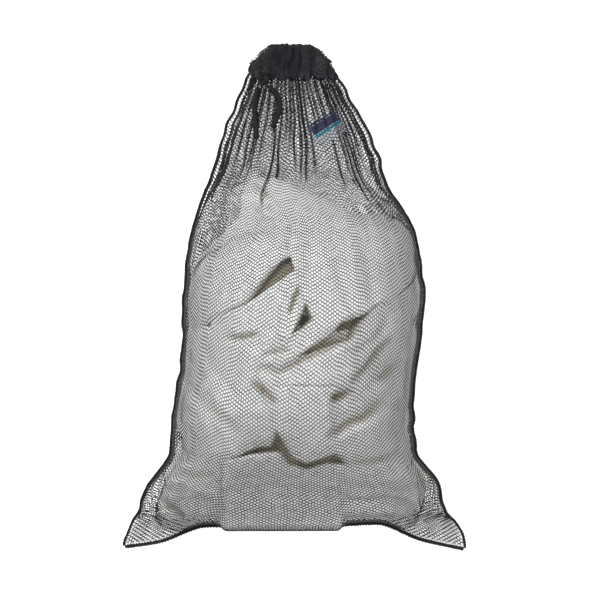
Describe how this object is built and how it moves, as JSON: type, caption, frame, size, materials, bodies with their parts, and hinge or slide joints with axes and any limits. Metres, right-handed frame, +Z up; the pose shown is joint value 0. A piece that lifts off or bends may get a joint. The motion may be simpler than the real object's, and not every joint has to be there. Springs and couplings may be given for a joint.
{
  "type": "mesh laundry bag",
  "caption": "Drawstring laundry bag of black hexagonal net, drawn closed round a load of folded white towels and lying on its back.",
  "frame": {"origin": "on the surface that the bag lies on, under the middle of its box", "axes": "+X across the bag to the right, +Y along it to the drawn mouth, +Z up through its thickness"},
  "size_m": [0.388, 0.5671, 0.178],
  "materials": {
    "net": "matt black polyester warp-knitted hexagonal net",
    "overlock_thread": "black overlocked thread over the net's edge, bumpy",
    "net_hem": "black net folded double and gathered",
    "cord": "black braided polyester cord with a slight sheen",
    "label_ribbon": "woven satin ribbon, white with a navy band and a turquoise stripe",
    "label_thread": "navy sewing thread",
    "white_cotton": "white cotton terry and percale, washed"
  },
  "bodies": {
    "bag": {"front_mesh_panel": "net", "back_mesh_panel": "net", "left_side_seam": "overlock_thread", "right_side_seam": "overlock_thread", "bottom_seam": "overlock_thread", "towel_bottom_middle": "white_cotton", "towel_bottom_left": "white_cotton", "towel_bottom_right": "white_cotton", "towel_middle_left": "white_cotton", "towel_middle": "white_cotton", "towel_middle_right": "white_cotton", "towel_left": "white_cotton", "towel_right": "white_cotton", "towel_top": "white_cotton", "towel_under_bottom": "white_cotton", "towel_under_middle": "white_cotton", "towel_under_top": "white_cotton"},
    "neck": {"shoulder_front_mesh_panel": "net", "shoulder_back_mesh_panel": "net", "shoulder_left_side_seam": "overlock_thread", "shoulder_right_side_seam": "overlock_thread", "neck_front_mesh_panel": "net", "neck_back_mesh_panel": "net", "neck_left_side_seam": "overlock_thread", "neck_right_side_seam": "overlock_thread", "drawstring_casing": "net_hem", "mouth_ruffle": "net_hem", "drawstring_loop": "cord", "drawstring_knot": "cord", "label_stitching": "label_thread"},
    "left_tail": {"left_cord_tail": "cord"},
    "right_tail": {"right_cord_tail": "cord"},
    "label_flap": {"label": "label_ribbon"}
  },
  "joints": [
    {"name": "neck_lift", "type": "hinge", "parent": "bag", "child": "neck", "pos_m": [0, 0.15, 0.02], "axis": [1, 0, 0], "range_deg": [0, 60], "deforming": ["shoulder_front_mesh_panel", "shoulder_back_mesh_panel", "shoulder_left_side_seam", "shoulder_right_side_seam"]},
    {"name": "left_tail_swing", "type": "hinge", "parent": "neck", "child": "left_tail", "pos_m": [-0.0395, 0.2343, 0.0375], "axis": [-1, 0, 0], "range_deg": [0, 100]},
    {"name": "right_tail_swing", "type": "hinge", "parent": "neck", "child": "right_tail", "pos_m": [-0.0275, 0.2343, 0.0375], "axis": [-1, 0, 0], "range_deg": [0, 100]},
    {"name": "label_swing", "type": "hinge", "parent": "neck", "child": "label_flap", "pos_m": [0.0311, 0.1986, 0.0198], "axis": [0.8387, 0.5446, 0], "range_deg": [0, 20]}
  ]
}
